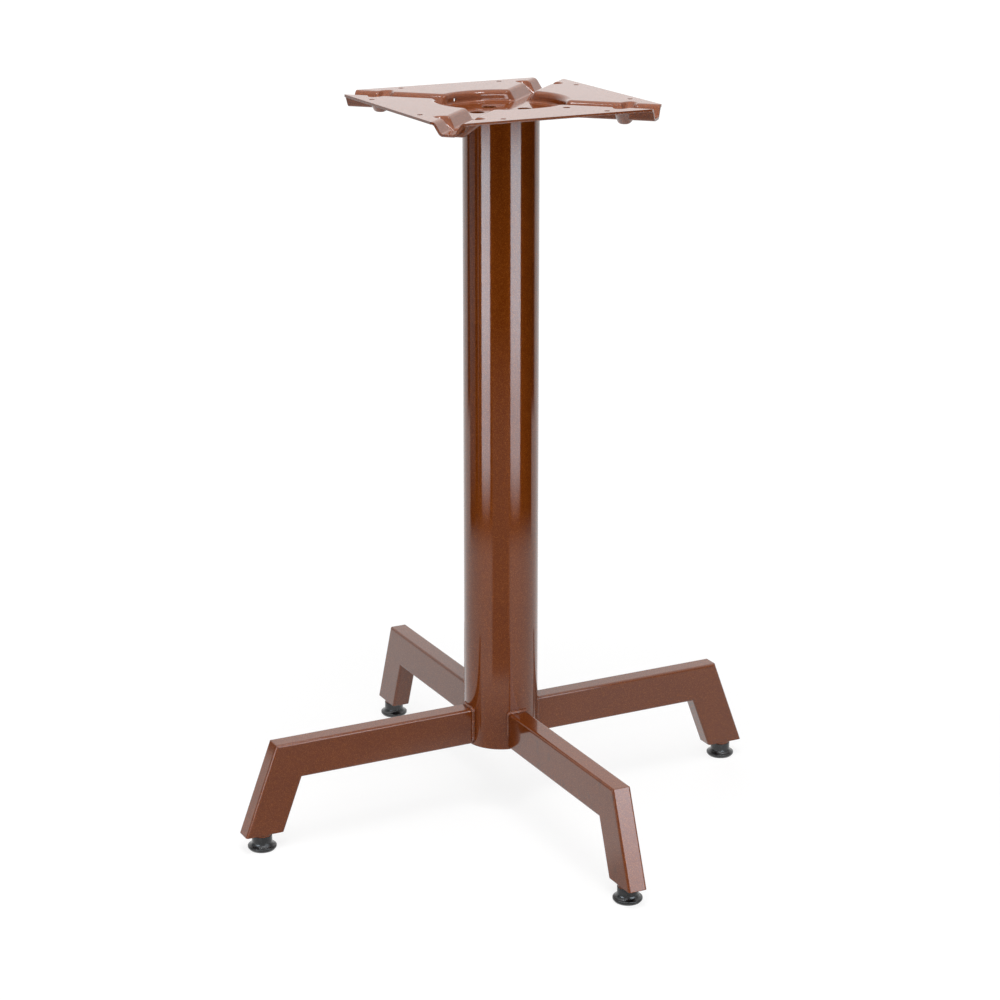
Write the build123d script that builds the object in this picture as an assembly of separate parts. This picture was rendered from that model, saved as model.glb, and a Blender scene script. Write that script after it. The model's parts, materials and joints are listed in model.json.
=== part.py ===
from build123d import *
import os
from math import cos, hypot, radians, sin, sqrt, tan

# Cafe table base: a round steel column on four welded arms with sloping feet, under a pressed plate.
# Millimetres. The origin is on the floor under the column, the arms lie along X and Y, the front is -Y.

# Driving dimensions: whole base
height = 735.0
foot_reach = 288.5
foot_cut_height = 17.2

# Driving dimensions: column
column_diameter = 76.0
column_wall = 2.0
column_bottom = 71.0

# Driving dimensions: arms and legs, one rectangular tube
tube_depth = 38.0
tube_width = 20.0
tube_wall = 1.5
tube_corner_radius = 2.5
arm_bottom = 72.2
leg_slope = 20.4

# Driving dimensions: pressed plate
plate_side = 246.0
plate_thickness = 2.5
press_depth = 11.0
well_floor_radius = 61.5
well_taper = 10.0
channel_floor_width = 13.0
channel_taper = 32.0
shoulder_radius = 6.0
floor_radius = 3.0
panel_corner_radius = 8.0
pocket_from_centre = 125.0
pocket_below_channel = 4.5
pocket_floor_radius = 4.5
pocket_half_width = 9.5
pocket_half_length = 25.0
pocket_mouth_radius = 3.0
corner_cut_margin = 0.6

# Driving dimensions: holes in the plate
screw_hole_diameter = 5.5
screw_hole_inset = 10.0
screw_hole_spacing = 110.0
drain_hole_diameter = 14.0
drain_hole_radius = 26.0
panel_hole_diameter = 7.0
panel_hole_place = (31.0, -77.0)
hanging_hole_diameter = 4.0
hanging_hole_angle = 110.0
hanging_hole_depth = 7.0

# Driving dimensions: feet
end_plate_thickness = 3.0
stud_diameter = 8.0
stud_above_bush = 6.0
thread_clearance = 0.05
bush_flange_diameter = 19.5
bush_flange_height = 2.5
bush_body_diameter = 13.0
bush_body_height = 8.0
glide_neck_diameter = 20.4
glide_disc_diameter = 29.0
glide_base_diameter = 26.0
glide_flare_start = 7.4
glide_flare_end = 4.1
glide_rim_height = 2.0
glide_edge_round = 0.6
glide_flare_bow = 0.8
stud_into_glide = 9.0
stud_tip_chamfer = 1.0

# Driving dimensions: welds
arm_weld_leg = 3.0
arm_weld_slope = 40.0
plate_weld_leg = 4.0
# how far down the arm's sides each bead runs, as a share of the arm's depth
arm_weld_shares = {"right": 0.6, "back": 0.6, "left": 0.87, "front": 0.6}

# Named clearances
push_clearance = 0.05

# How near a height has to be to count as the same level
same_level = 0.01

# Worked out from the above
column_radius = column_diameter / 2
arm_top = arm_bottom + tube_depth
slope_run = tan(radians(leg_slope))
elbow_reach = foot_reach - (arm_top - foot_cut_height) * slope_run
mitre_run = tube_depth * tan(radians(90 - leg_slope) / 2)
foot_width = tube_depth / cos(radians(leg_slope))
glide_reach = foot_reach - foot_width / 2
pocket_depth = press_depth + pocket_below_channel
well_underside = height - press_depth - plate_thickness
through_sheet = 4 * plate_thickness
channel_run = tan(radians(channel_taper))
well_run = tan(radians(well_taper))
channel_top_half = channel_floor_width / 2 + press_depth * channel_run
channel_mouth_half = channel_top_half + shoulder_radius * tan(radians(90 - channel_taper) / 2)
corner_cut = sqrt(2) * (channel_mouth_half + corner_cut_margin)
sides = {"right": 0, "back": 90, "left": 180, "front": 270}


def write(node, solids):
    """one node, which may be a group of separate solids"""
    shape = solids[0] if len(solids) == 1 else Compound(children=solids)
    export_step(shape, f"parts/{node}.step")


def turned(shape, angle):
    return Rot(0, 0, angle) * shape


def column():
    length = well_underside - column_bottom
    tube = Cylinder(column_radius, length) - Cylinder(column_radius - column_wall, length)
    return Pos(0, 0, column_bottom + length / 2) * tube


def tube_section():
    outline = RectangleRounded(tube_depth, tube_width, tube_corner_radius)
    bore = RectangleRounded(
        tube_depth - 2 * tube_wall, tube_width - 2 * tube_wall, tube_corner_radius - tube_wall
    )
    return outline - bore


def mitre_plane():
    """the cut through the elbow, facing outwards along the leg"""
    outer = Vector(elbow_reach, 0, arm_top)
    inner = Vector(elbow_reach - mitre_run, 0, arm_bottom)
    along = (outer - inner).normalized()
    return Plane(origin=outer, x_dir=(0, 1, 0), z_dir=(along.Z, 0, -along.X))


def arm():
    level = Plane(origin=(0, 0, arm_bottom + tube_depth / 2), x_dir=(0, 0, 1), z_dir=(1, 0, 0))
    tube = extrude(level * tube_section(), elbow_reach + tube_depth)
    tube = split(tube, bisect_by=mitre_plane(), keep=Keep.BOTTOM)
    return tube - Cylinder(column_radius, 3 * height)


def leg():
    axis = Vector(sin(radians(leg_slope)), 0, -cos(radians(leg_slope)))
    across = Vector(cos(radians(leg_slope)), 0, sin(radians(leg_slope)))
    outer_toe = Vector(foot_reach, 0, foot_cut_height)
    middle = outer_toe - across * (tube_depth / 2)
    slanted = Plane(origin=middle + axis * tube_depth, x_dir=across, z_dir=-axis)
    tube = extrude(slanted * tube_section(), arm_top + tube_depth)
    tube = split(tube, bisect_by=mitre_plane(), keep=Keep.TOP)
    return split(tube, bisect_by=Plane.XY.offset(foot_cut_height), keep=Keep.TOP)


def end_plate():
    """closes the leg just above its cut end, sloped ends and all"""
    bore_depth = tube_depth - 2 * tube_wall - 2 * push_clearance
    bore_width = tube_width - 2 * tube_wall - 2 * push_clearance
    half_bore = bore_depth / cos(radians(leg_slope)) / 2
    low = foot_cut_height
    high = low + end_plate_thickness
    rise = end_plate_thickness * slope_run
    outline = Polyline(
        (glide_reach - half_bore, low),
        (glide_reach + half_bore, low),
        (glide_reach + half_bore - rise, high),
        (glide_reach - half_bore - rise, high),
        close=True,
    )
    blank = extrude(Plane.XZ * make_face(outline), bore_width / 2, both=True)
    corners = blank.edges().filter_by(lambda edge: edge.bounding_box().size.Z > 0.9 * end_plate_thickness)
    blank = fillet(corners, tube_corner_radius - tube_wall + push_clearance)
    hole = Pos(glide_reach, 0, low) * Cylinder(bush_body_diameter / 2, height)
    return blank - hole


def revolved(points):
    """a turned piece from its half section in radius and height"""
    return revolve(Plane.XZ * make_face(Polyline(*points, close=True)), Axis.Z)


def bush():
    bore = stud_diameter / 2 + thread_clearance
    flange_bottom = foot_cut_height - bush_flange_height
    body = bush_body_diameter / 2 - push_clearance
    flange = bush_flange_diameter / 2
    piece = revolved([
        (bore, flange_bottom),
        (flange, flange_bottom),
        (flange, foot_cut_height),
        (body, foot_cut_height),
        (body, foot_cut_height + bush_body_height),
        (bore, foot_cut_height + bush_body_height),
    ])
    return Pos(glide_reach, 0, 0) * piece


def glide():
    top = foot_cut_height - bush_flange_height
    neck = glide_neck_diameter / 2
    rim = glide_disc_diameter / 2
    base = glide_base_diameter / 2
    socket = stud_diameter / 2
    socket_floor = top - stud_into_glide
    section = (
        Polyline((socket, top), (neck, top), (neck, glide_flare_start))
        + ThreePointArc(
            (neck, glide_flare_start),
            (neck + glide_flare_bow, (glide_flare_start + glide_flare_end) / 2 + glide_flare_bow / 4),
            (rim - glide_edge_round, glide_flare_end),
        )
        + Line((rim - glide_edge_round, glide_flare_end), (rim, glide_flare_end - glide_edge_round))
        + Line((rim, glide_flare_end - glide_edge_round), (rim, glide_rim_height))
        + Line((rim, glide_rim_height), (base, 0))
        + Polyline((base, 0), (0, 0), (0, socket_floor), (socket, socket_floor), (socket, top))
    )
    piece = revolve(Plane.XZ * make_face(section), Axis.Z)
    return Pos(glide_reach, 0, 0) * piece


def stud():
    bottom = foot_cut_height - bush_flange_height - stud_into_glide
    top = foot_cut_height + bush_body_height + stud_above_bush
    length = top - bottom
    rod = Cylinder(stud_diameter / 2, length, align=(Align.CENTER, Align.CENTER, Align.MIN))
    rod = chamfer(rod.edges().group_by(Axis.Z)[-1], stud_tip_chamfer)
    return Pos(glide_reach, 0, bottom) * rod


def arm_weld(share):
    """the bead over the top of an arm and down its sides, where it meets the column"""
    middle = arm_bottom + tube_depth / 2
    reach = column_radius + arm_weld_leg
    start = sqrt(column_radius**2 - (tube_width / 2) ** 2)
    foot = Plane(origin=(start, 0, middle), x_dir=(0, 0, 1), z_dir=(1, 0, 0))
    grown = RectangleRounded(
        tube_depth + 2 * arm_weld_leg, tube_width + 2 * arm_weld_leg, tube_corner_radius + arm_weld_leg
    )
    collar = extrude(foot * grown, reach - start, taper=arm_weld_slope)
    back = Plane(origin=(start - arm_weld_leg, 0, middle), x_dir=(0, 0, 1), z_dir=(1, 0, 0))
    collar += extrude(back * grown, arm_weld_leg)
    tube = Pos(column_radius, 0, middle) * Box(2 * column_diameter, tube_width, tube_depth)
    collar -= fillet(tube.edges().filter_by(Axis.X), tube_corner_radius)
    collar -= Cylinder(column_radius, 3 * height)
    lowest = arm_top - share * tube_depth
    return split(collar, bisect_by=Plane.XY.offset(lowest), keep=Keep.TOP)


def plate_weld():
    return revolved([
        (column_radius, well_underside),
        (column_radius, well_underside - plate_weld_leg),
        (column_radius + plate_weld_leg, well_underside),
    ])


def underside_step(run):
    """how far outside the upper outline the underside's outline lies, on a wall that spreads by run"""
    return plate_thickness * (sqrt(1 + run**2) - run)


def channel(floor, floor_half, level):
    """one straight groove along X, right through the middle"""
    top_half = floor_half + (level - floor) * channel_run
    outline = Polyline(
        (-floor_half, floor), (floor_half, floor), (top_half, level), (-top_half, level), close=True
    )
    return extrude(Plane.YZ * make_face(outline), plate_side, both=True)


def well(floor, radius, level):
    top_radius = radius + (level - floor) * well_run
    outline = Polyline((0, floor), (radius, floor), (top_radius, level), (0, level), close=True)
    return revolve(Plane.XZ * make_face(outline), Axis.Z)


def pocket(floor, floor_size, level, level_size, floor_fillet):
    """a funnel across the channel, from a round floor to an oval mouth"""
    funnel = loft([
        Plane.XY.offset(floor) * Ellipse(*floor_size),
        Plane.XY.offset(level) * Ellipse(*level_size),
    ])
    funnel = fillet(funnel.edges().group_by(Axis.Z)[0], floor_fillet)
    return Pos(pocket_from_centre, 0, 0) * funnel


def lies_flat(edge, level):
    return abs(edge.center().Z - level) < same_level and edge.bounding_box().size.Z < same_level


def along_diagonal(edge):
    middle = edge.center()
    return max(abs(middle.X + middle.Y), abs(middle.X - middle.Y)) / sqrt(2)


def pressed_block(underside):
    """everything below one face of the pressed sheet, its upper face or its underside"""
    drop = plate_thickness if underside else 0.0
    sign = 1.0 if underside else 0.0
    level = height - drop
    floor = level - press_depth
    pocket_floor = level - pocket_depth
    block_side = plate_side + 4 * shoulder_radius

    cavity = well(floor, well_floor_radius + sign * underside_step(well_run), level)
    groove = channel(floor, channel_floor_width / 2 + sign * underside_step(channel_run), level)
    for angle in (45, 135):
        cavity += turned(groove, angle)
    block_depth = 2 * pocket_depth
    block = Pos(0, 0, level - block_depth / 2) * Box(block_side, block_side, block_depth) - cavity

    def inside(edge):
        return max(abs(edge.center().X), abs(edge.center().Y)) < block_side / 2 - floor_radius

    upright = [
        edge for edge in block.edges()
        if edge.bounding_box().size.Z > press_depth - same_level
        and hypot(edge.center().X, edge.center().Y) < plate_side / 2
    ]
    block = fillet(upright, panel_corner_radius - drop)
    block = fillet([e for e in block.edges() if lies_flat(e, floor) and inside(e)], floor_radius + drop)
    block = fillet([e for e in block.edges() if lies_flat(e, level) and inside(e)], shoulder_radius - drop)

    long_run = (pocket_half_length - pocket_floor_radius) / pocket_depth
    wide_run = (pocket_half_width - pocket_floor_radius) / pocket_depth
    grow = (sign * underside_step(wide_run), sign * underside_step(long_run))
    floor_size = (pocket_floor_radius + grow[0], pocket_floor_radius + grow[1])
    level_size = (pocket_half_width + grow[0], pocket_half_length + grow[1])
    funnel = pocket(pocket_floor, floor_size, level, level_size, floor_radius + drop)
    for angle in (45, 135, 225, 315):
        block -= turned(funnel, angle)
    mouth = [
        edge for edge in block.edges()
        if abs(along_diagonal(edge) - pocket_from_centre) < 2 * pocket_half_width
        and edge.center().Z > pocket_floor + 0.9 * (floor_radius + drop)
        and edge.length < 2.2 * pocket_half_length
    ]
    return fillet(mouth, pocket_mouth_radius - drop)


def plate():
    sheet = pressed_block(False) - pressed_block(True)
    outline = Rectangle(plate_side, plate_side)
    outline = chamfer(outline.vertices(), corner_cut)
    sheet &= extrude(Plane.XY.offset(height - 2 * pocket_depth) * outline, 2 * pocket_depth)
    row = plate_side / 2 - screw_hole_inset
    screw_hole = Pos(0, 0, height) * Cylinder(screw_hole_diameter / 2, through_sheet)
    drain_hole = Cylinder(drain_hole_diameter / 2, through_sheet)
    drain_hole = Pos(drain_hole_radius, 0, well_underside) * drain_hole
    for angle in (0, 90, 180, 270):
        for place in (-screw_hole_spacing / 2, screw_hole_spacing / 2):
            sheet -= turned(Pos(row, place, 0) * screw_hole, angle)
        sheet -= turned(drain_hole, angle)
    sheet -= Pos(*panel_hole_place, height) * Cylinder(panel_hole_diameter / 2, through_sheet)
    hanging_hole = Rot(0, 90, 0) * Cylinder(hanging_hole_diameter / 2, 2 * through_sheet)
    hanging_hole = Pos(well_floor_radius, 0, height - hanging_hole_depth) * hanging_hole
    return sheet - turned(hanging_hole, hanging_hole_angle)


os.makedirs("parts", exist_ok=True)

write("top_plate", [plate()])
write("column", [column()])
write("plate_weld", [plate_weld()])
write("arm_welds", [turned(arm_weld(arm_weld_shares[side]), angle) for side, angle in sides.items()])
for side, angle in sides.items():
    write(f"arm_{side}", [turned(arm(), angle)])
    write(f"leg_{side}", [turned(leg(), angle)])
    write(f"end_plate_{side}", [turned(end_plate(), angle)])
    write(f"bush_{side}", [turned(bush(), angle)])
    write(f"stud_{side}", [turned(stud(), angle)])
    write(f"glide_{side}", [turned(glide(), angle)])
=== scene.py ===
import json
import math

import bpy
from mathutils import Matrix, Vector


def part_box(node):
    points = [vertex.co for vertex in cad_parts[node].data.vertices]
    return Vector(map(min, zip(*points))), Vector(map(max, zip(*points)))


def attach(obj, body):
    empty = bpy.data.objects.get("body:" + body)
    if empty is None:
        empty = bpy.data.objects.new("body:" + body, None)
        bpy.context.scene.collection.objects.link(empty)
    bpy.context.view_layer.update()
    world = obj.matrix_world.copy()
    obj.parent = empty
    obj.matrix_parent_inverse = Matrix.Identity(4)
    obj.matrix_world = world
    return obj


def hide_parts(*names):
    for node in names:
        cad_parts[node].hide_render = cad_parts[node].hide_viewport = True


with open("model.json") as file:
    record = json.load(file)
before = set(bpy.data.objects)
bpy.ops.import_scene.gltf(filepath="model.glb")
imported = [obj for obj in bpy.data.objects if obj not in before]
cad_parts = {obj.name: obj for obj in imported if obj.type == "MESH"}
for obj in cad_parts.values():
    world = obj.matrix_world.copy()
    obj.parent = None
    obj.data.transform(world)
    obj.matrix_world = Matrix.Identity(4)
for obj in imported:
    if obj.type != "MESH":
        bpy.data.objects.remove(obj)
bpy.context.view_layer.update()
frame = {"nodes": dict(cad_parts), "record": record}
scene = bpy.context.scene
scene.view_settings.view_transform = "Standard"
nodes = frame["nodes"]
mm = 0.001
print("frame loaded,", len(nodes), "nodes")


# a socket in a node tree, so that sums between nodes are written as sums
class Value:
    def __init__(self, graph, socket):
        self.graph, self.socket = graph, socket

    def work(self, operation, first, second=0.0):
        return self.graph.add("ShaderNodeMath", {"operation": operation}, {0: first, 1: second})

    def __add__(self, other):
        return self.work("ADD", self, other)

    def __sub__(self, other):
        return self.work("SUBTRACT", self, other)

    def __rsub__(self, other):
        return self.work("SUBTRACT", other, self)

    def __mul__(self, other):
        return self.work("MULTIPLY", self, other)

    def __truediv__(self, other):
        return self.work("DIVIDE", self, other)

    def larger(self, other):
        return self.work("MAXIMUM", self, other)

    def above(self, other):
        return self.work("GREATER_THAN", self, other)

    def size(self):
        return self.work("ABSOLUTE", self)

    def fraction(self):
        return self.work("FRACT", self)

    def root(self):
        return self.work("SQRT", self)

    __radd__ = __add__
    __rmul__ = __mul__


# a node tree that is filled by add(): the node's type, its settings, its sockets, the output that is wanted
class Graph:
    def __init__(self, tree):
        self.tree = tree
        tree.nodes.clear()

    def add(self, kind, settings, sockets, out=0):
        node = self.tree.nodes.new(kind)
        for name, value in settings.items():
            setattr(node, name, value)
        for name, value in sockets.items():
            if isinstance(value, Value):
                self.tree.links.new(value.socket, node.inputs[name])
            else:
                node.inputs[name].default_value = value
        return Value(self, node.outputs[out]) if node.outputs else node

    def blend(self, low, high, value):
        # 0 at low, 1 at high, smooth between them
        return self.add("ShaderNodeMapRange", {"interpolation_type": "SMOOTHSTEP"},
                        {"Value": value, "From Min": low, "From Max": high})

    def mixColour(self, share, first, second):
        return self.add("ShaderNodeMix", {"data_type": "RGBA"}, {0: share, 6: first, 7: second}, 2)

    def mixVector(self, share, first, second):
        return self.add("ShaderNodeMix", {"data_type": "VECTOR"}, {0: share, 4: first, 5: second}, 1)

    def mixNumber(self, share, first, second):
        return self.add("ShaderNodeMix", {"data_type": "FLOAT"}, {0: share, 2: first, 3: second})

    def mixShader(self, share, first, second):
        return self.add("ShaderNodeMixShader", {}, {0: share, 1: first, 2: second})

    def place(self, space="Object"):
        return self.add("ShaderNodeTexCoord", {}, {}, space)

    def noise(self, place, scale, detail=2.0):
        return self.add("ShaderNodeTexNoise", {}, {"Vector": place, "Scale": scale, "Detail": detail})

    def axes(self, vector):
        split = self.add("ShaderNodeSeparateXYZ", {}, {0: vector}).socket.node
        return [Value(self, socket) for socket in split.outputs]

    def along(self, vector, way):
        return self.add("ShaderNodeVectorMath", {"operation": "DOT_PRODUCT"}, {0: vector, 1: way}, "Value")

    def emission(self, sockets):
        return self.add("ShaderNodeEmission", {}, sockets)

    def finish(self, shader):
        self.add("ShaderNodeOutputMaterial", {}, {0: shader})


def newMaterial(name):
    material = bpy.data.materials.new(name)
    material.use_nodes = True
    return material, Graph(material.node_tree)


def addObject(name, data):
    thing = bpy.data.objects.new(name, data)
    scene.collection.objects.link(thing)
    return thing


# brown powder coat with fine metal flake under a gloss skin
paint = {
    "deep": (0.138, 0.0262, 0.0012, 1),
    "warm": (0.150, 0.0300, 0.0020, 1),
    "cloudScale": 14.0,
    "cloudEdge": (0.35, 0.65),
    "flake": (0.42, 0.12, 0.020, 1),
    "flakeSize": 0.42 * mm,
    "flakeShare": 0.16,
    "flakeContrast": 0.5,
    "flakePick": (0.72, 0.92),
    "flakeCover": (0.4, 0.6),
    "flakeTint": 0.5,
    "flakeRoughness": (0.34, 0.16),
    "peelSize": 2.2 * mm,
    "peelDepth": 0.004 * mm,
    "gloss": 0.06,
    "glossDrift": 0.03,
    "driftScale": 90.0,
    "edgeRadius": 0.9 * mm,
    "seamEdge": (1.6 * mm, 1.0 * mm),
    "outerEdge": (0.2, 0.1),
}

# faint handling marks on the sides of the front arm and leg
grime = {
    "colour": (0.050, 0.020, 0.010, 1),
    "size": 16 * mm,
    "detail": 5.0,
    "edge": (0.56, 0.70),
    "share": 0.45,
    "roughness": 0.10,
    "alongArm": (-0.08, -0.11),
    "besideArm": (0.030, 0.025),
    "facing": (0.3, 0.6),
}

# the slanted plane where each arm meets its leg
armLow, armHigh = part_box("arm_right")
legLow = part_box("leg_right")[0]
elbow = {
    "reach": armHigh.x,
    "top": armHigh.z,
    "run": (armHigh.x - legLow.x) / (armHigh.z - armLow.z),
}


def makePaint():
    material, g = newMaterial("brownPaint")
    place = g.place()
    x, y, z = g.axes(place)
    flat = g.add("ShaderNodeNewGeometry", {}, {}, "Normal")
    facingX, facingY, facingZ = g.axes(flat)

    cloud = g.noise(place, paint["cloudScale"])
    base = g.mixColour(g.blend(*paint["cloudEdge"], cloud), paint["deep"], paint["warm"])
    onSides = g.blend(*grime["alongArm"], y) * g.blend(*grime["besideArm"], x.size())
    onSides = onSides * g.blend(*grime["facing"], facingX.size())
    marks = g.noise(place, 1 / grime["size"], grime["detail"])
    smudge = g.blend(*grime["edge"], marks) * onSides
    base = g.mixColour(smudge * grime["share"], base, grime["colour"])

    # the elbow seams were ground flush: no rounded edge shows along them, but for the outer corner
    seam = x.size().larger(y.size()) - (elbow["reach"] - (elbow["top"] - z) * elbow["run"])
    onSeam = g.blend(*paint["seamEdge"], seam.size()) * g.blend(*paint["outerEdge"], facingZ)
    rounded = g.add("ShaderNodeBevel", {"samples": 6}, {"Radius": paint["edgeRadius"]})
    peel = g.noise(place, 1 / paint["peelSize"], 1.0)
    skin = g.add("ShaderNodeBump", {}, {
        "Strength": 1.0,
        "Distance": paint["peelDepth"],
        "Height": peel,
        "Normal": g.mixVector(onSeam, rounded, flat),
    })

    cells = g.add("ShaderNodeTexVoronoi", {"feature": "F1"},
                  {"Vector": place, "Scale": 1 / paint["flakeSize"]}, "Color")
    pick, tilt, shade = g.axes(cells)
    flakes = g.blend(*paint["flakePick"], pick)
    drift = g.noise(place, paint["driftScale"])
    smooth, rough = paint["flakeRoughness"]
    least, more = paint["flakeCover"]
    gloss = g.add("ShaderNodeBsdfPrincipled", {}, {
        "Base Color": g.mixColour(flakes * paint["flakeContrast"], base, paint["flake"]),
        "Roughness": paint["gloss"] + paint["glossDrift"] * drift + grime["roughness"] * smudge,
        "Normal": skin,
    })
    metal = g.add("ShaderNodeBsdfPrincipled", {}, {
        "Base Color": g.mixColour(shade * paint["flakeTint"], base, paint["flake"]),
        "Metallic": 1.0,
        "Roughness": smooth + rough * tilt,
        "Normal": skin,
    })
    g.finish(g.mixShader(paint["flakeShare"] * (least + more * flakes), gloss, metal))
    return material


# black moulded nylon, semi gloss
plastic = {
    "dark": (0.008, 0.008, 0.009, 1),
    "worn": (0.030, 0.030, 0.031, 1),
    "wearScale": 160.0,
    "wearDetail": 4.0,
    "wearEdge": (0.45, 0.75),
    "grainSize": 0.25 * mm,
    "grainDepth": 0.01 * mm,
    "grainStrength": 0.5,
    "edgeRadius": 0.4 * mm,
    "roughness": (0.19, 0.16),
}


def makePlastic():
    material, g = newMaterial("blackPlastic")
    place = g.place()
    wear = g.noise(place, plastic["wearScale"], plastic["wearDetail"])
    grain = g.noise(place, 1 / plastic["grainSize"])
    edges = g.add("ShaderNodeBevel", {"samples": 6}, {"Radius": plastic["edgeRadius"]})
    skin = g.add("ShaderNodeBump", {}, {
        "Strength": plastic["grainStrength"],
        "Distance": plastic["grainDepth"],
        "Height": grain,
        "Normal": edges,
    })
    smooth, rough = plastic["roughness"]
    g.finish(g.add("ShaderNodeBsdfPrincipled", {}, {
        "Base Color": g.mixColour(g.blend(*plastic["wearEdge"], wear), plastic["dark"], plastic["worn"]),
        "Roughness": smooth + rough * wear,
        "Normal": skin,
    }))
    return material


# bright zinc on the studs
zinc = {
    "dull": (0.50, 0.50, 0.48, 1),
    "bright": (0.72, 0.71, 0.68, 1),
    "cloudScale": 700.0,
    "cloudDetail": 3.0,
    "roughness": (0.22, 0.22),
}


def makeZinc():
    material, g = newMaterial("zincPlate")
    cloud = g.noise(g.place(), zinc["cloudScale"], zinc["cloudDetail"])
    smooth, rough = zinc["roughness"]
    g.finish(g.add("ShaderNodeBsdfPrincipled", {}, {
        "Base Color": g.mixColour(cloud, zinc["dull"], zinc["bright"]),
        "Metallic": 1.0,
        "Roughness": smooth + rough * cloud,
    }))
    return material


finishes = {"brown_paint": makePaint(), "black_plastic": makePlastic(), "zinc_steel": makeZinc()}
for row in frame["record"]["subparts"]:
    nodes[row["node"]].data.materials.clear()
    nodes[row["node"]].data.materials.append(finishes[row["material_slot"]])
print("finishes on", len(nodes), "nodes")


# an empty geometry tree with its inputs, each a Float unless said otherwise
def newTree(name, labels, kinds):
    tree = bpy.data.node_groups.new(name, "GeometryNodeTree")
    face = tree.interface
    face.new_socket("Geometry", in_out="INPUT", socket_type="NodeSocketGeometry")
    for label in labels:
        face.new_socket(label, in_out="INPUT", socket_type="NodeSocket" + kinds.get(label, "Float"))
    face.new_socket("Geometry", in_out="OUTPUT", socket_type="NodeSocketGeometry")
    g = Graph(tree)
    start = g.add("NodeGroupInput", {}, {}).socket.node
    return g, {socket.name: Value(g, socket) for socket in start.outputs if socket.name}


# runs a tree on the source object and keeps the result as a plain mesh object
def shapeFrom(source, g, values, name):
    modifier = source.modifiers.new(name, "NODES")
    modifier.node_group = g.tree
    for item in g.tree.interface.items_tree:
        if item.in_out == "INPUT" and item.name in values:
            modifier[item.identifier] = values[item.name]
    evaluated = source.evaluated_get(bpy.context.evaluated_depsgraph_get())
    mesh = bpy.data.meshes.new_from_object(evaluated)
    mesh.name = name
    bpy.data.objects.remove(source)
    return addObject(name, mesh)


# weld beads: overlapping ripples along a path
bead = {
    "Across": 2.3 * mm,
    "Along": 1.5 * mm,
    "Pitch": 1.15 * mm,
    "Seed": 4,
    "Material": finishes["brown_paint"],
}
beadPath = {
    "wobble": {2: 0.88, 3: 1.1},
    "sink": 0.4 * mm,
    "corner": 2.5 * mm,
    "sideSteps": 20,
    "cornerSteps": 6,
    "topSteps": 8,
    "ringSteps": 96,
}
sideShares = {"right": 0.6, "back": 0.6, "left": 0.87, "front": 0.6}  # how far down each arm its bead runs


def makeWeldTree():
    g, given = newTree("weldBead", list(bead), {"Seed": "Int", "Material": "Material"})
    path = g.add("GeometryNodeResampleCurve", {"mode": "LENGTH"},
                 {"Curve": given["Geometry"], "Length": given["Pitch"]})
    drop = g.add("GeometryNodeMeshIcoSphere", {}, {"Radius": 1.0, "Subdivisions": 2})
    along = g.add("GeometryNodeInputTangent", {}, {})
    turn = g.add("FunctionNodeAlignRotationToVector", {"axis": "Z"}, {"Vector": along})
    wobble = g.add("FunctionNodeRandomValue", {"data_type": "FLOAT"},
                   {**beadPath["wobble"], "Seed": given["Seed"]}, 1)
    width = given["Across"] * wobble
    size = g.add("ShaderNodeCombineXYZ", {}, {0: width, 1: width, 2: given["Along"]})
    rows = g.add("GeometryNodeInstanceOnPoints", {},
                 {"Points": path, "Instance": drop, "Rotation": turn, "Scale": size})
    solid = g.add("GeometryNodeRealizeInstances", {}, {"Geometry": rows})
    smooth = g.add("GeometryNodeSetShadeSmooth", {}, {"Geometry": solid})
    done = g.add("GeometryNodeSetMaterial", {}, {"Geometry": smooth, "Material": given["Material"]})
    g.add("NodeGroupOutput", {}, {0: done})
    return g


def pathObject(name, paths, closed=False):
    curve = bpy.data.curves.new(name, "CURVE")
    curve.dimensions = "3D"
    for points in paths:
        line = curve.splines.new("POLY")
        line.points.add(len(points) - 1)
        for point, place in zip(line.points, points):
            point.co = (*place, 1)
        line.use_cyclic_u = closed
    return addObject(name, curve)


# up one side of an arm, over its top and down the other side, where it meets the column
def armPath(side, turnBy):
    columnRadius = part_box("column")[1].x
    half, top = armHigh.y + beadPath["sink"], armHigh.z + beadPath["sink"]
    corner, steps, bends, across = (beadPath[k] for k in ("corner", "sideSteps", "cornerSteps", "topSteps"))
    start = armHigh.z - sideShares[side] * (armHigh.z - armLow.z)
    outline = [(-half, start + i * (top - corner - start) / steps) for i in range(steps)]
    for i in range(bends + 1):
        angle = math.radians(180 - 90 / bends * i)
        outline.append((-half + corner + corner * math.cos(angle), top - corner + corner * math.sin(angle)))
    outline += [(-half + corner + i * (half - corner) / across, top) for i in range(1, across)]
    outline += [(0, top)] + [(-y, z) for y, z in reversed(outline)]
    reach = columnRadius + beadPath["sink"]
    turned = Matrix.Rotation(math.radians(turnBy), 3, "Z")
    return [turned @ Vector((math.sqrt(reach**2 - y**2), y, z)) for y, z in outline]


def circle(radius, count, level):
    turns = [i * math.tau / count for i in range(count)]
    return [(radius * math.cos(turn), radius * math.sin(turn), level) for turn in turns]


def makeBeads():
    tree = makeWeldTree()
    paths = [armPath(side, 90 * i) for i, side in enumerate(sideShares)]
    arms = shapeFrom(pathObject("armPaths", paths), tree, bead, "armBeads")
    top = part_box("column")[1]
    ring = circle(top.x + beadPath["sink"], beadPath["ringSteps"], top.z - beadPath["sink"])
    under = shapeFrom(pathObject("ringPath", [ring], True), tree, bead, "plateBead")
    for piece, node in ((arms, "arm_welds"), (under, "plate_weld")):
        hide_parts(node)
        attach(piece, "frame")


makeBeads()
print("weld beads made")

# levelling studs: a real thread in place of the plain rods
thread = {"Pitch": 1.25 * mm, "Depth": 0.62 * mm, "Material": finishes["zinc_steel"]}
rod = {"around": 36, "perTurn": 8, "tip": 0.8 * mm, "wall": 0.9}


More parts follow.
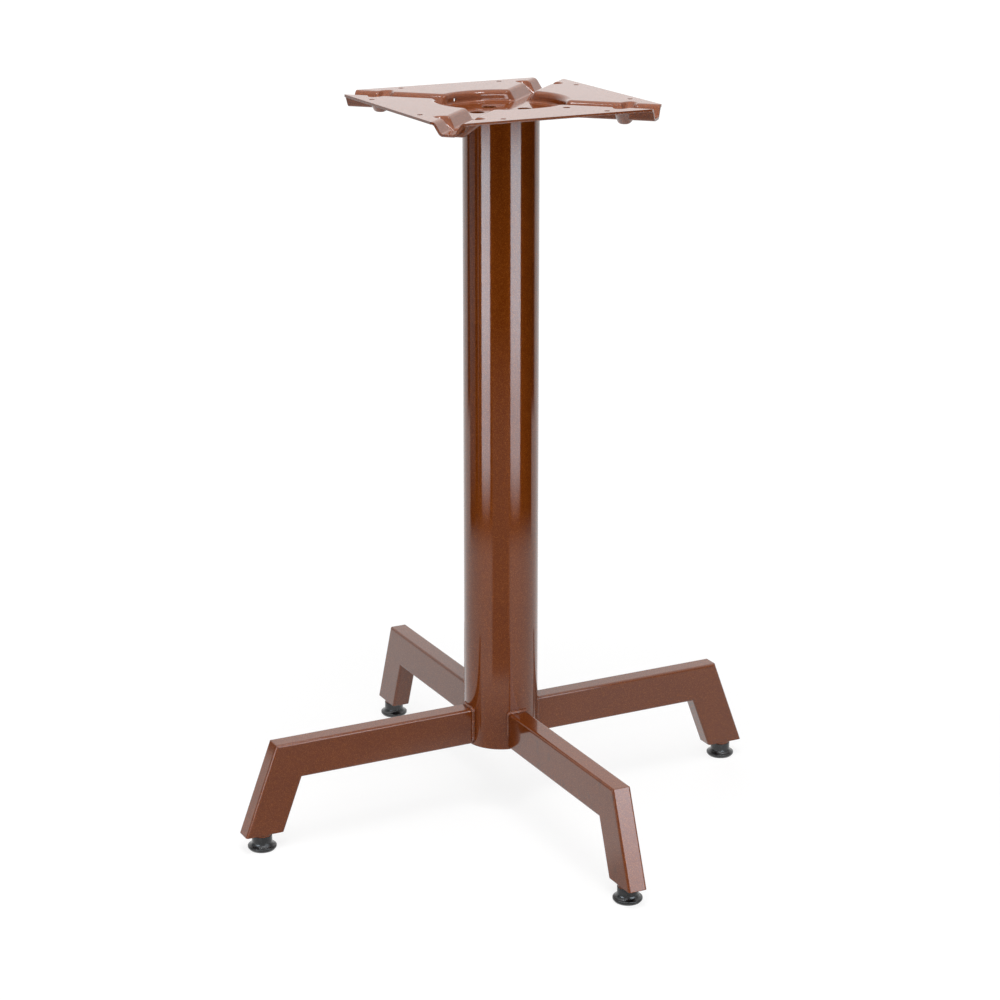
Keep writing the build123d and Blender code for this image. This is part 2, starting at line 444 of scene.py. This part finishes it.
# each point of a plain rod about the Z axis is pulled in by how far it lies from the thread's crest
def makeThreadTree():
    g, given = newTree("thread", ["Pitch", "Depth", "Radius", "Material"], {"Material": "Material"})
    place = g.add("GeometryNodeInputPosition", {}, {})
    x, y, z = g.axes(place)
    around = x.work("ARCTAN2", y, x) / math.tau
    turn = (z / given["Pitch"] - around).fraction()
    fall = (turn - 0.5).size() * 2.0
    out = (x * x + y * y).root()
    onWall = out.above(given["Radius"] * rod["wall"])
    keep = 1.0 - fall * given["Depth"] / given["Radius"] * onWall
    size = g.add("ShaderNodeCombineXYZ", {}, {0: keep, 1: keep, 2: 1.0})
    moved = g.add("ShaderNodeVectorMath", {"operation": "MULTIPLY"}, {0: place, 1: size})
    shape = g.add("GeometryNodeSetPosition", {}, {"Geometry": given["Geometry"], "Position": moved})
    solid = g.add("GeometryNodeRealizeInstances", {}, {"Geometry": shape})
    done = g.add("GeometryNodeSetMaterial", {}, {"Geometry": solid, "Material": given["Material"]})
    g.add("NodeGroupOutput", {}, {0: done})
    return g


def rodObject(name, radius, length):
    rings, around = round(length / thread["Pitch"] * rod["perTurn"]), rod["around"]
    points, faces = [], []
    for k in range(rings + 1):
        z = length * k / rings
        points += circle(radius - max(0, z - (length - rod["tip"])), around, z)
    for k in range(rings):
        for i in range(around):
            a, b = k * around + i, k * around + (i + 1) % around
            faces.append((a, b, b + around, a + around))
    last = rings * around
    faces.append(tuple(reversed(range(around))))
    faces.append(tuple(range(last, last + around)))
    mesh = bpy.data.meshes.new(name)
    mesh.from_pydata(points, [], faces)
    return addObject(name, mesh)


def makeStuds():
    tree = makeThreadTree()
    for side in ("right", "back", "left", "front"):
        low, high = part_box(f"stud_{side}")
        radius = (high.x - low.x) / 2
        source = rodObject("rod", radius, high.z - low.z)
        stud = shapeFrom(source, tree, {**thread, "Radius": radius}, f"threadedStud_{side}")
        stud.data.transform(Matrix.Translation(((low.x + high.x) / 2, (low.y + high.y) / 2, low.z)))
        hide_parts(f"stud_{side}")
        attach(stud, f"levelling_foot_{side}")


makeStuds()
print("studs threaded")

# the camera at the photograph's angle: degrees, metres, and the focal length in pixels of the frame
view = {
    "place": (-1.1394, -2.2439, 1.1028),
    "heading": 26.898,
    "tilt": -15.363,
    "roll": 0.008,
    "focal": 2594.8,
    "frame": 1000,
    "rise": -0.08,
    "sensor": 36,
}


def makeCamera():
    heading, tilt, roll = (math.radians(view[k]) for k in ("heading", "tilt", "roll"))
    ahead = Vector((math.sin(heading) * math.cos(tilt), math.cos(heading) * math.cos(tilt), math.sin(tilt)))
    right = Vector((math.cos(heading), -math.sin(heading), 0))
    up = right.cross(ahead)
    right, up = right * math.cos(roll) + up * math.sin(roll), up * math.cos(roll) - right * math.sin(roll)
    camera = addObject("camera", bpy.data.cameras.new("camera"))
    camera.data.sensor_width = view["sensor"]
    camera.data.lens = view["sensor"] * view["focal"] / view["frame"]
    camera.data.shift_y = view["rise"]
    camera.matrix_world = Matrix((right, up, -ahead)).transposed().to_4x4()
    camera.location = view["place"]
    scene.camera = camera
    return Vector((-math.sin(heading), -math.cos(heading), 0))


towardsCamera = makeCamera()

# what the world shows to the camera, to the shade and to the gloss; edges are (none, full)
surround = {
    "white": 1.0,
    "shade": 0.03,
    "backdrop": 1.26,
    "backdropEdge": (0.30, 0.60),
    "ceiling": 1.9,
    "ceilingEdge": (0.55, 0.85),
    "room": 0.85,
    "roomEdge": (-0.02, 0.25),
    "least": 0.01,
}


def rayKinds(g):
    rays = g.add("ShaderNodeLightPath", {}, {}).socket.node.outputs
    return [Value(g, rays[name]) for name in ("Is Camera Ray", "Is Glossy Ray", "Is Transmission Ray")]


def makeWorld():
    world = bpy.data.worlds.new("studio")
    world.use_nodes = True
    scene.world = world
    g = Graph(world.node_tree)
    seen, glossy, through = rayKinds(g)
    way = g.place("Generated")
    height = g.axes(way)[2]
    backdrop = surround["backdrop"] * g.blend(*surround["backdropEdge"], g.along(way, -towardsCamera))
    ceiling = surround["ceiling"] * g.blend(*surround["ceilingEdge"], height)
    room = surround["room"] * g.blend(*surround["roomEdge"], height)
    mirror = backdrop.larger(ceiling).larger(room) + surround["least"]
    level = g.mixNumber(glossy, surround["shade"], mirror)
    level = g.mixNumber(seen.larger(through), level, surround["white"])
    light = g.add("ShaderNodeBackground", {}, {"Color": (1, 1, 1, 1), "Strength": level})
    g.add("ShaderNodeOutputWorld", {}, {0: light})


# a pale floor that keeps the shadow; in the gloss it is a lit sweep, with a dark gap towards the camera and
# a painted shadow in a ring near the base
ground = {
    "radius": 8.0,
    "sides": 96,
    "shade": (0.45, 0.45, 0.45, 1),
    "pale": (0.8, 0.8, 0.8, 1),
    "bright": 1.08,
    "brightShare": (0.80, 0.20),
    "brightEdge": (0.45, 1.0),
    "gloss": 1.2,
    "sweepEdge": (1.07, 0.85),
    "behindEdge": (-0.42, -0.60),
    "besideReach": (1.7, 1.5),
    "besideEdge": (-0.24, -0.31),
    "gapEdge": (0.885, 0.915),
    "gapStart": (0.40, 0.46),
    "gapGlow": 0.4,
    "gapFade": (2.4, 1.3),
    # painted shadow in the gloss: how much it darkens the floor, and the ring on the camera side where it
    # lies
    "paintedShadow": 0.38,
    "paintedShadowStart": (0.16, 0.22),
    "paintedShadowEnd": (0.45, 0.25),
    "paintedShadowEdge": (0.3, 0.7),
    "least": 0.01,
}


def makeFloor():
    mesh = bpy.data.meshes.new("floor")
    mesh.from_pydata(circle(ground["radius"], ground["sides"], 0), [], [tuple(range(ground["sides"]))])
    floor = addObject("floor", mesh)
    material, g = newMaterial("paleFloor")
    seen, glossy = rayKinds(g)[:2]
    place = g.place()
    out = g.add("ShaderNodeVectorMath", {"operation": "LENGTH"}, {0: place}, "Value")
    front = g.along(place, towardsCamera) / out

    near = g.blend(*ground["sweepEdge"], out)
    beside = g.blend(*ground["besideReach"], out) * g.blend(*ground["besideEdge"], front)
    sweep = near.larger(g.blend(*ground["behindEdge"], front)).larger(beside)
    gap = g.blend(*ground["gapEdge"], front) * g.blend(*ground["gapStart"], out)
    middle = ground["gapGlow"] * gap * g.blend(*ground["gapFade"], out)
    # painted shadow: on the camera side, a ring of floor about 0.2 to 0.4 m out glows less in the gloss,
    # standing in for the object's shade on the floor that its faces reflect
    ring = g.blend(*ground["paintedShadowStart"], out) * g.blend(*ground["paintedShadowEnd"], out)
    paintedShadow = ring * g.blend(*ground["paintedShadowEdge"], front)
    lit = ground["gloss"] * sweep * (1 - ground["paintedShadow"] * paintedShadow) * (1 - gap)
    mirror = g.emission({"Strength": lit + middle + ground["least"]})

    shade = g.add("ShaderNodeBsdfDiffuse", {}, {"Color": ground["shade"]})
    pale = g.add("ShaderNodeBsdfDiffuse", {}, {"Color": ground["pale"]})
    bright = g.emission({"Strength": ground["bright"]})
    least, more = ground["brightShare"]
    shown = g.mixShader(least + more * g.blend(*ground["brightEdge"], out), pale, bright)
    g.finish(g.mixShader(seen, g.mixShader(glossy, shade, mirror), shown))
    mesh.materials.append(material)


# an upright or slanted light card that only shows in the gloss, with its edges as (distance, height)
def makeCard(name, angle, half, low, high, material):
    turned = Matrix.Rotation(math.radians(angle), 3, "Z") @ towardsCamera
    side = Vector((-turned.y, turned.x, 0)) * half
    low, high = (turned * distance + Vector((0, 0, height)) for distance, height in (low, high))
    mesh = bpy.data.meshes.new(name)
    mesh.from_pydata([low - side, low + side, high + side, high - side], [], [(0, 1, 2, 3)])
    mesh.materials.append(material)
    card = addObject(name, mesh)
    card.visible_camera = card.visible_diffuse = card.visible_shadow = False


# upright panels: angle from the camera, half width, brightness
panels = {
    "panelLeft": {"angle": -46.0, "half": 0.238, "strength": 9.8},
    "panelRight": {"angle": 44.0, "half": 0.276, "strength": 9.4},
    "panelSide": {"angle": -95.0, "half": 0.21, "strength": 0.6},
    "panelThin": {"angle": -71.0, "half": 0.03, "strength": 0.8},
}
panelLook = {
    "distance": 0.985,
    "height": 0.7,
    "colour": (0.79, 0.90, 1.0, 1),
    "lowShare": 0.63,
    "lowEdge": (0.0, 0.12),
    "highShare": 0.37,
    "highEdge": (0.14, 0.34),
    "topEdge": (0.615, 0.505),
}


def makePanel(name, facts):
    material, g = newMaterial(name)
    height = g.axes(g.place())[2]
    low = panelLook["lowShare"] * g.blend(*panelLook["lowEdge"], height)
    high = panelLook["highShare"] * g.blend(*panelLook["highEdge"], height)
    glow = (low + high) * g.blend(*panelLook["topEdge"], height)
    g.finish(g.emission({"Color": panelLook["colour"], "Strength": glow * facts["strength"]}))
    foot, head = (panelLook["distance"], 0), (panelLook["distance"], panelLook["height"])
    makeCard(name, facts["angle"], facts["half"], foot, head, material)


# soft boxes: the front one draws the light lines on rounded edges, the top ones bright spots in the hollows
topSoftbox = {"half": 0.09, "low": (0.62, 1.78), "high": (0.42, 1.86), "strength": 26.0}
softboxes = {
    "softboxFront": {"angle": 12.0, "half": 0.54, "low": (1.1, 1.03), "high": (1.1, 1.42), "strength": 7.0},
    "softboxTopLeft": {"angle": -60.0, **topSoftbox},
    "softboxTopRight": {"angle": 70.0, **topSoftbox},
}
softboxColour = (0.90, 0.95, 1.0, 1)


def makeSoftbox(name, facts):
    material, g = newMaterial(name)
    g.finish(g.emission({"Color": softboxColour, "Strength": facts["strength"]}))
    makeCard(name, facts["angle"], facts["half"], facts["low"], facts["high"], material)


# lamps for the shade only: angle from the camera, elevation, distance from the middle, size and power
lamps = {
    "overhead": {"angle": 0, "elevation": 80, "distance": 2.2, "size": (1.2, 1.2), "power": 47},
    "highFront": {"angle": 0, "elevation": 50, "distance": 2.2, "size": (1.4, 0.8), "power": 14},
    "front": {"angle": 12, "elevation": 20, "distance": 2.2, "size": (1.2, 0.4), "power": 1},
    "rear": {"angle": 180, "elevation": 10, "distance": 2.2, "size": (1.4, 0.6), "power": 18},
    "left": {"angle": -50, "elevation": -14, "distance": 1.1, "size": (0.8, 0.3), "power": 3.1},
    "right": {"angle": 42, "elevation": -14, "distance": 1.1, "size": (0.7, 0.3), "power": 2.9},
}
lampMiddle = Vector((0, 0, 0.4))


def makeLamp(name, facts):
    turned = Matrix.Rotation(math.radians(facts["angle"]), 3, "Z") @ towardsCamera
    elevation = math.radians(facts["elevation"])
    away = turned * math.cos(elevation) + Vector((0, 0, math.sin(elevation)))
    lamp = addObject(name, bpy.data.lights.new(name, "AREA"))
    lamp.data.shape = "RECTANGLE"
    lamp.data.size, lamp.data.size_y = facts["size"]
    lamp.data.energy = facts["power"]
    lamp.location = lampMiddle + away * facts["distance"]
    lamp.rotation_mode = "QUATERNION"
    lamp.rotation_quaternion = away.to_track_quat("Z", "Y")
    lamp.visible_camera = lamp.visible_glossy = False


makeWorld()
makeFloor()
for name, facts in panels.items():
    makePanel(name, facts)
for name, facts in softboxes.items():
    makeSoftbox(name, facts)
for name, facts in lamps.items():
    makeLamp(name, facts)
print("studio ready")
